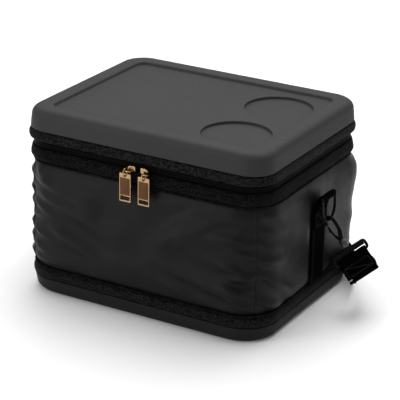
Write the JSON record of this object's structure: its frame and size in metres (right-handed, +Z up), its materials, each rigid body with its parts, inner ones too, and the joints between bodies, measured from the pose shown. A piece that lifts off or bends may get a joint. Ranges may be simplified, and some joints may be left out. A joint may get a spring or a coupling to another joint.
{
  "type": "insulated cooler bag",
  "caption": "Soft-sided insulated cooler bag with a moulded lid and base, a wraparound zip, a rear lid hinge and a clip-on shoulder strap.",
  "frame": {"origin": "centre of the flat underside of the base tray", "axes": "+Z up, -Y towards the front face with the zip pulls, +X towards the bag's right-hand side as seen from the front"},
  "size_m": [0.5163, 0.4082, 0.237],
  "materials": {
    "moulded_shell": "soft-touch moulded foam shell with a fine leather-like grain, matte",
    "coated_fabric": "dark charcoal coated fabric, matte, loosely stretched over foam",
    "black_webbing": "black woven webbing and tape, matte",
    "zip_coil": "black nylon coil, satin",
    "gold_metal": "polished pale gold plating",
    "copper_inlay": "brushed copper",
    "black_metal": "black enamelled metal, semi-gloss",
    "silver_liner": "silver heat-reflecting liner, slightly crinkled",
    "white_foam": "closed-cell foam, matte"
  },
  "bodies": {
    "body": {"base_tray": "moulded_shell", "base_tape": "black_webbing", "base_piping": "black_webbing", "floor_insulation": "white_foam", "body_fabric": "coated_fabric", "wall_insulation": "white_foam", "inner_liner": "silver_liner", "rim_binding": "black_webbing", "top_piping": "black_webbing", "lower_zip_tape": "black_webbing", "lower_zip_coil": "zip_coil", "rear_hinge": "coated_fabric", "zip_stop_left": "gold_metal", "zip_stop_right": "gold_metal", "side_webbing_left": "black_webbing", "side_webbing_right": "black_webbing", "strap_main": "black_webbing", "strap_lead_left": "black_webbing", "strap_lead_right": "black_webbing"},
    "lid": {"lid_shell": "moulded_shell", "lid_insulation": "white_foam", "lid_liner": "silver_liner", "upper_zip_tape": "black_webbing", "upper_zip_coil": "zip_coil"},
    "zip_slider_left": {"slider_left": "gold_metal"},
    "zip_link_left": {"link_ring_left": "gold_metal"},
    "zip_pull_left": {"pull_left": "gold_metal", "pull_inlay_left": "copper_inlay"},
    "side_ring_left": {"d_ring_left": "black_metal"},
    "hook_left": {"snap_hook_left": "black_metal"},
    "gate_left": {"hook_gate_left": "black_metal"},
    "swivel_left": {"strap_ring_left": "black_metal", "strap_end_left": "black_webbing"},
    "zip_slider_right": {"slider_right": "gold_metal"},
    "zip_link_right": {"link_ring_right": "gold_metal"},
    "zip_pull_right": {"pull_right": "gold_metal", "pull_inlay_right": "copper_inlay"},
    "side_ring_right": {"d_ring_right": "black_metal"},
    "hook_right": {"snap_hook_right": "black_metal"},
    "gate_right": {"hook_gate_right": "black_metal"},
    "swivel_right": {"strap_ring_right": "black_metal", "strap_end_right": "black_webbing"}
  },
  "joints": [
    {"name": "lid_hinge", "type": "hinge", "parent": "body", "child": "lid", "pos_m": [0, 0.1342, 0.1935], "axis": [-1, 0, 0], "range_deg": [0, 170]},
    {"name": "slider_run_left", "type": "slide", "parent": "body", "child": "zip_slider_left", "axis": [1, 0, 0], "range_m": [-0.105, 0]},
    {"name": "link_swing_left", "type": "hinge", "parent": "zip_slider_left", "child": "zip_link_left", "pos_m": [-0.0102, -0.1416, 0.189], "axis": [-1, 0, 0], "range_deg": [-5, 100]},
    {"name": "pull_swing_left", "type": "hinge", "parent": "zip_link_left", "child": "zip_pull_left", "pos_m": [-0.0102, -0.1416, 0.1842], "axis": [0, 1, 0], "range_deg": [-8, 45]},
    {"name": "d_ring_tilt_left", "type": "hinge", "parent": "body", "child": "side_ring_left", "pos_m": [-0.181, 0.01, 0.149], "axis": [0, 1, 0], "range_deg": [-4, 70], "deforming": ["strap_lead_left"]},
    {"name": "hook_swing_left", "type": "hinge", "parent": "side_ring_left", "child": "hook_left", "pos_m": [-0.18323, 0.01, 0.11708], "axis": [0, 1, 0], "range_deg": [-6, 50], "deforming": ["strap_lead_left"]},
    {"name": "gate_open_left", "type": "hinge", "parent": "hook_left", "child": "gate_left", "pos_m": [-0.18934, 0.01, 0.09353], "axis": [0, -1, 0], "range_deg": [0, 20], "stiffness_Nm_per_rad": 0.03, "springref_deg": -11.46},
    {"name": "swivel_turn_left", "type": "hinge", "parent": "hook_left", "child": "swivel_left", "pos_m": [-0.18323, 0.01, 0.11708], "axis": [-0.4067, 0, -0.9135], "range_deg": [-20, 35], "deforming": ["strap_lead_left"]},
    {"name": "slider_run_right", "type": "slide", "parent": "body", "child": "zip_slider_right", "axis": [1, 0, 0], "range_m": [0, 0.095]},
    {"name": "link_swing_right", "type": "hinge", "parent": "zip_slider_right", "child": "zip_link_right", "pos_m": [0.0152, -0.1416, 0.189], "axis": [-1, 0, 0], "range_deg": [-5, 100]},
    {"name": "pull_swing_right", "type": "hinge", "parent": "zip_link_right", "child": "zip_pull_right", "pos_m": [0.0152, -0.1416, 0.1842], "axis": [0, 1, 0], "range_deg": [-45, 8]},
    {"name": "d_ring_tilt_right", "type": "hinge", "parent": "body", "child": "side_ring_right", "pos_m": [0.181, 0.01, 0.149], "axis": [0, -1, 0], "range_deg": [-4, 70], "deforming": ["strap_lead_right"]},
    {"name": "hook_swing_right", "type": "hinge", "parent": "side_ring_right", "child": "hook_right", "pos_m": [0.18323, 0.01, 0.11708], "axis": [0, -1, 0], "range_deg": [-20, 40], "deforming": ["strap_lead_right"]},
    {"name": "gate_open_right", "type": "hinge", "parent": "hook_right", "child": "gate_right", "pos_m": [0.19559, 0.01, 0.09612], "axis": [0, 1, 0], "range_deg": [0, 20], "stiffness_Nm_per_rad": 0.03, "springref_deg": -11.46},
    {"name": "swivel_turn_right", "type": "hinge", "parent": "hook_right", "child": "swivel_right", "pos_m": [0.18323, 0.01, 0.11708], "axis": [0.6428, 0, -0.766], "range_deg": [-35, 35], "deforming": ["strap_lead_right"]}
  ]
}
